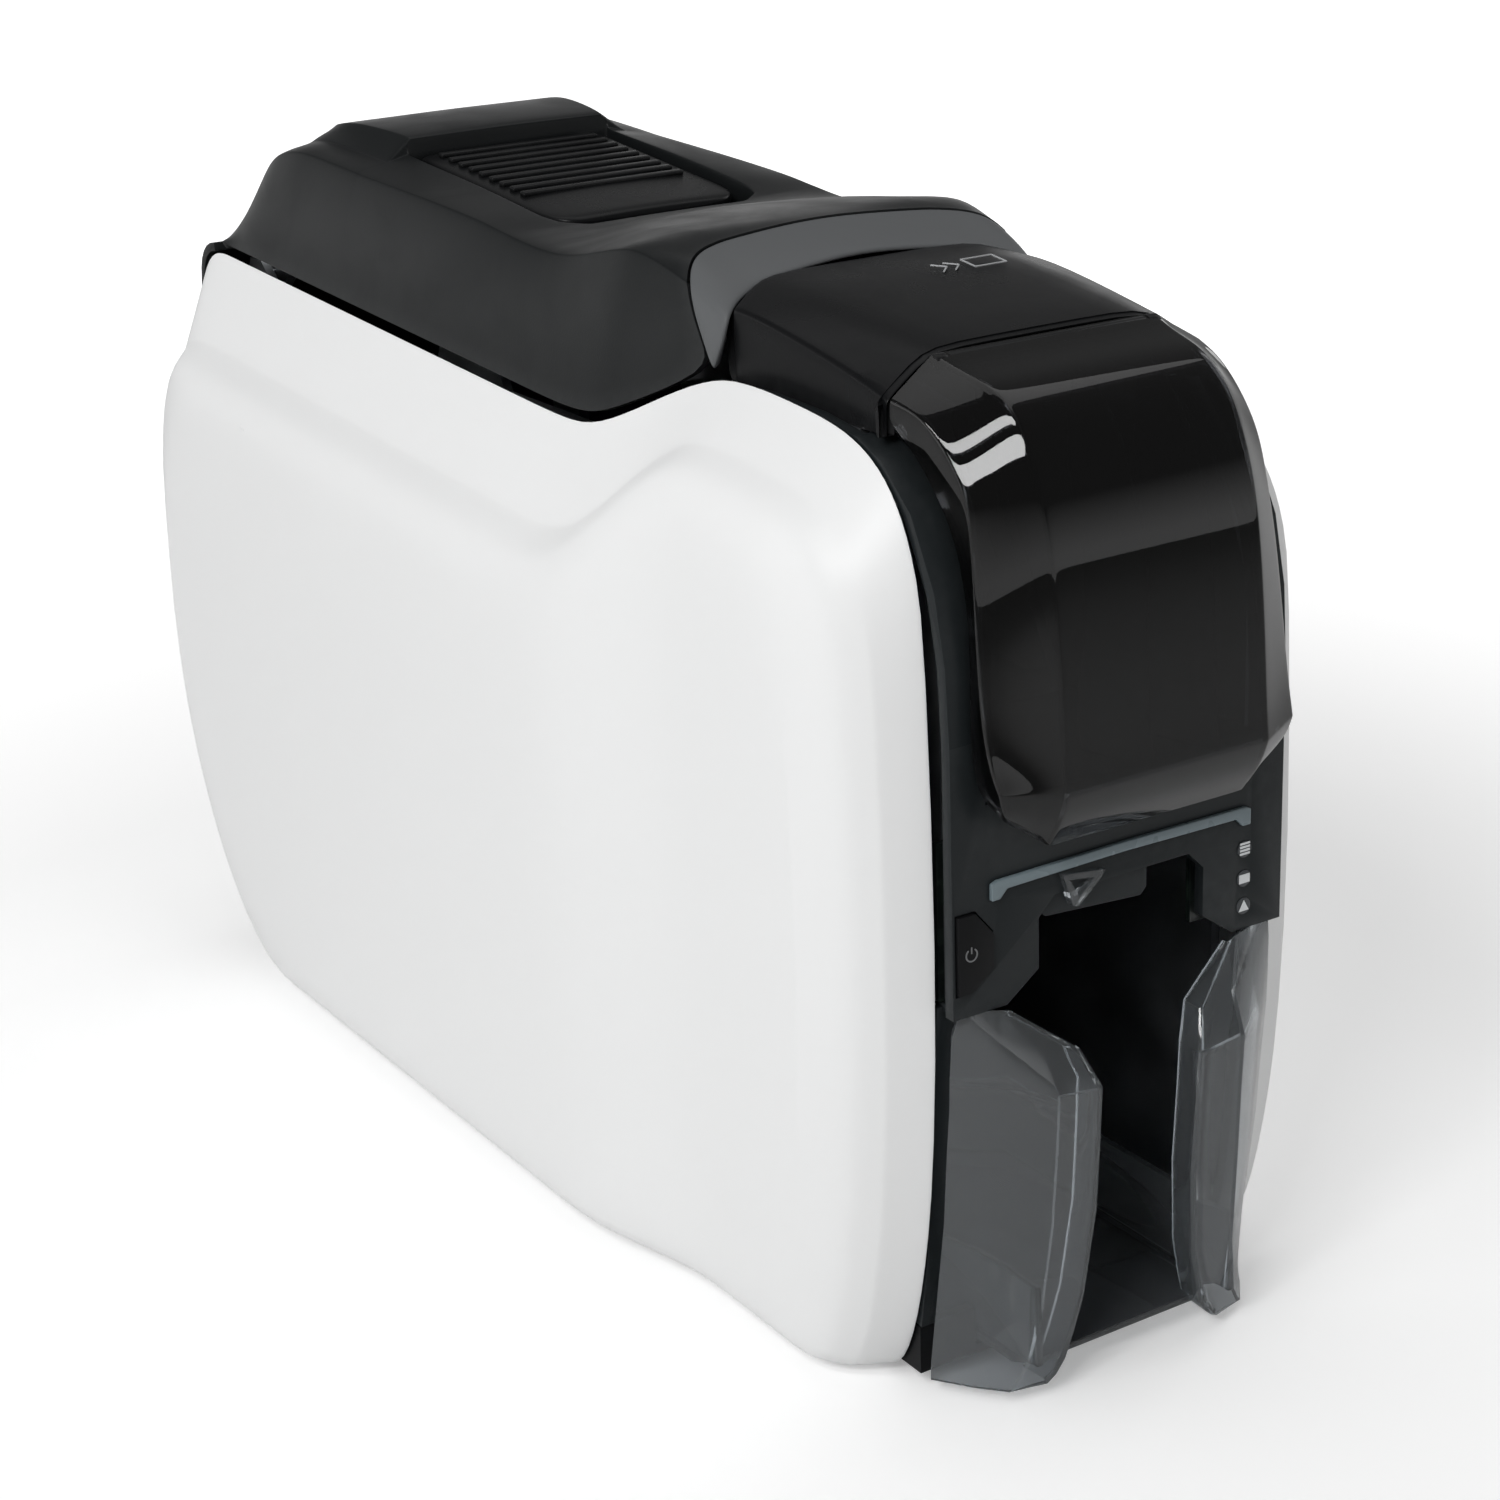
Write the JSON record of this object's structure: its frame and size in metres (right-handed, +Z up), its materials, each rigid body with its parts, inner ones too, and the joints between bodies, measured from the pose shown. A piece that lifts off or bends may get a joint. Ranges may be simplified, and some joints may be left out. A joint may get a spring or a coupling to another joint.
{
  "type": "id card printer",
  "caption": "Compact plastic card printer with deep white side panels, a dark lid hinged at the rear over the print head, a smoke-clear card feeder cover and a clear output hopper at the front",
  "frame": {"origin": "centre of the bounding box in plan, on the plane that the rubber feet stand on", "axes": "+Z up, the front with the feeder and the output hopper faces -Y, +X to the right as seen from the front"},
  "size_m": [0.158, 0.399, 0.266],
  "materials": {
    "white_panel": "satin",
    "dark_lid": "satin",
    "grey_band": "satin",
    "black_plastic": "satin",
    "bezel_plastic": "satin",
    "smoke_clear": "polished",
    "clear_plastic": "polished",
    "light_plastic": "satin",
    "white_plastic": "moulded",
    "rubber": "matt",
    "roller_rubber": "fine ground",
    "clean_rubber": "tacky",
    "sheet_steel": "zinc plated",
    "steel": "turned",
    "brass": "hobbed",
    "heat_sink": "extruded",
    "ceramic": "glazed",
    "motor": "satin",
    "circuit_board": "solder mask",
    "film_dark": "film"
  },
  "bodies": {
    "base": {"left_side_panel": "white_panel", "right_side_panel": "white_panel", "base_tray": "black_plastic", "rubber_feet": "rubber", "left_chassis_wall": "sheet_steel", "right_chassis_wall": "sheet_steel", "rear_panel": "dark_lid", "front_bezel": "bezel_plastic", "feeder_roof": "black_plastic", "light_bar": "light_plastic", "indicator_windows": "light_plastic", "front_board": "circuit_board", "input_cover_pins": "steel", "input_tray": "black_plastic", "card_deck": "black_plastic", "card_sensors": "black_plastic", "output_chute": "black_plastic", "timing_belt": "rubber", "stepper_motor": "motor", "ribbon_web": "film_dark", "ribbon_motor": "motor", "latch_striker": "steel", "lid_hinge_pins": "steel", "main_board": "circuit_board", "usb_port": "steel", "ethernet_port": "steel", "power_inlet": "black_plastic", "screws": "steel"},
    "lid": {"top_lid": "dark_lid", "lid_frame": "sheet_steel", "lid_front_band": "grey_band", "print_head": "ceramic", "head_heat_sink": "heat_sink", "release_pad_pin": "steel"},
    "pad": {"release_pad": "dark_lid"},
    "feeder_cover": {"input_cover": "smoke_clear"},
    "button": {"power_button": "black_plastic"},
    "hopper": {"output_hopper": "clear_plastic"},
    "weight": {"card_weight": "dark_lid"},
    "pick_axle": {"pick_roller": "roller_rubber", "pick_shaft": "steel", "pick_pulley": "white_plastic"},
    "front_drive_axle": {"front_drive_roller": "roller_rubber", "front_drive_shaft": "steel", "front_drive_pulley": "white_plastic"},
    "platen_axle": {"platen_roller": "roller_rubber", "platen_shaft": "steel", "platen_gear": "white_plastic"},
    "rear_drive_axle": {"rear_drive_roller": "roller_rubber", "rear_drive_shaft": "steel", "rear_drive_pulley": "white_plastic"},
    "cleaner": {"cleaning_roller": "clean_rubber"},
    "front_pinch": {"front_pinch_roller": "steel"},
    "rear_pinch": {"rear_pinch_roller": "steel"},
    "pinion": {"motor_pinion": "brass"},
    "diverter": {"card_diverter": "dark_lid"},
    "supply": {"ribbon_supply_core": "white_plastic", "ribbon_supply_film": "film_dark"},
    "takeup": {"ribbon_takeup_core": "white_plastic", "ribbon_takeup_film": "film_dark"}
  },
  "joints": [
    {"name": "lid_hinge", "type": "hinge", "parent": "base", "child": "lid", "pos_m": [0, 0.176, 0.214], "axis": [-1, 0, 0], "range_deg": [0, 75]},
    {"name": "release_pad_hinge", "type": "hinge", "parent": "lid", "child": "pad", "pos_m": [0, 0.086, 0.251], "axis": [-1, 0, 0], "range_deg": [0, 6], "stiffness_Nm_per_rad": 0.8},
    {"name": "feeder_cover_hinge", "type": "hinge", "parent": "base", "child": "feeder_cover", "pos_m": [0, -0.1559, 0.2425], "axis": [-1, 0, 0], "range_deg": [0, 80]},
    {"name": "power_button_push", "type": "slide", "parent": "base", "child": "button", "axis": [0, 1, 0], "range_m": [0, 0.001], "stiffness_N_per_m": 300},
    {"name": "output_hopper_pull", "type": "slide", "parent": "base", "child": "hopper", "axis": [0, -1, 0], "range_m": [0, 0.1]},
    {"name": "card_weight_hinge", "type": "hinge", "parent": "base", "child": "weight", "pos_m": [0, -0.099, 0.212], "axis": [-1, 0, 0], "range_deg": [0, 45]},
    {"name": "card_diverter_hinge", "type": "hinge", "parent": "base", "child": "diverter", "pos_m": [0, -0.067, 0.1445], "axis": [1, 0, 0], "range_deg": [0, 18], "stiffness_Nm_per_rad": 0.02},
    {"name": "platen_spin", "type": "hinge", "parent": "base", "child": "platen_axle", "pos_m": [0, 0.02, 0.143], "axis": [1, 0, 0], "continuous": true},
    {"name": "pick_spin", "type": "hinge", "parent": "base", "child": "pick_axle", "pos_m": [0, -0.112, 0.143], "axis": [1, 0, 0], "continuous": true},
    {"name": "front_drive_spin", "type": "hinge", "parent": "base", "child": "front_drive_axle", "pos_m": [0, -0.048, 0.143], "axis": [1, 0, 0], "continuous": true},
    {"name": "rear_drive_spin", "type": "hinge", "parent": "base", "child": "rear_drive_axle", "pos_m": [0, 0.08, 0.143], "axis": [1, 0, 0], "continuous": true},
    {"name": "cleaning_spin", "type": "hinge", "parent": "base", "child": "cleaner", "pos_m": [0, -0.074, 0.1558], "axis": [1, 0, 0], "continuous": true},
    {"name": "front_pinch_spin", "type": "hinge", "parent": "base", "child": "front_pinch", "pos_m": [0, -0.048, 0.1548], "axis": [1, 0, 0], "continuous": true},
    {"name": "rear_pinch_spin", "type": "hinge", "parent": "base", "child": "rear_pinch", "pos_m": [0, 0.08, 0.1548], "axis": [1, 0, 0], "continuous": true},
    {"name": "pinion_spin", "type": "hinge", "parent": "base", "child": "pinion", "pos_m": [0, 0.0272, 0.11998], "axis": [1, 0, 0], "continuous": true},
    {"name": "takeup_spin", "type": "hinge", "parent": "base", "child": "takeup", "pos_m": [0, -0.024, 0.184], "axis": [1, 0, 0], "continuous": true},
    {"name": "supply_spin", "type": "hinge", "parent": "base", "child": "supply", "pos_m": [0, 0.066, 0.184], "axis": [1, 0, 0], "continuous": true}
  ],
  "couplings": [
    {"joint": "pick_spin", "follows": "platen_spin", "ratio": 1},
    {"joint": "front_drive_spin", "follows": "platen_spin", "ratio": 1},
    {"joint": "rear_drive_spin", "follows": "platen_spin", "ratio": 1},
    {"joint": "cleaning_spin", "follows": "platen_spin", "ratio": -1.4},
    {"joint": "front_pinch_spin", "follows": "platen_spin", "ratio": -1.75},
    {"joint": "rear_pinch_spin", "follows": "platen_spin", "ratio": -1.75},
    {"joint": "pinion_spin", "follows": "platen_spin", "ratio": -4},
    {"joint": "takeup_spin", "follows": "supply_spin", "ratio": 1.7}
  ]
}
